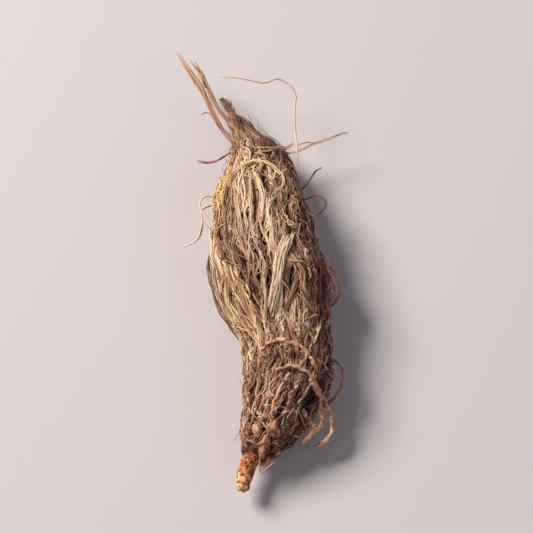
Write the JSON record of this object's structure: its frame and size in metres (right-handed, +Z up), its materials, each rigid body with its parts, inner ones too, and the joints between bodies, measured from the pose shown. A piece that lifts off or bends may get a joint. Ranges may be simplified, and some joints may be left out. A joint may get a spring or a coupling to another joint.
{
  "type": "dried spikenard root",
  "caption": "Dried spikenard root: a spindle-shaped rhizome wrapped in a net of old leaf fibres, with a broken ringed end, a tufted neck and loose rootlets.",
  "frame": {"origin": "middle of the small flat spot under the widest stretch, on which the root rests", "axes": "+Y along the root from its broken end to its tufted neck, +X to its right seen from above with the neck away, +Z up from the surface it lies on"},
  "size_m": [0.0359, 0.0932, 0.0217],
  "materials": {
    "dry_fibre": "matte dry plant fibre, straw to red brown, with dark gaps between the strands"
  },
  "bodies": {
    "root": {"spikenard_root": "dry_fibre"}
  },
  "joints": []
}
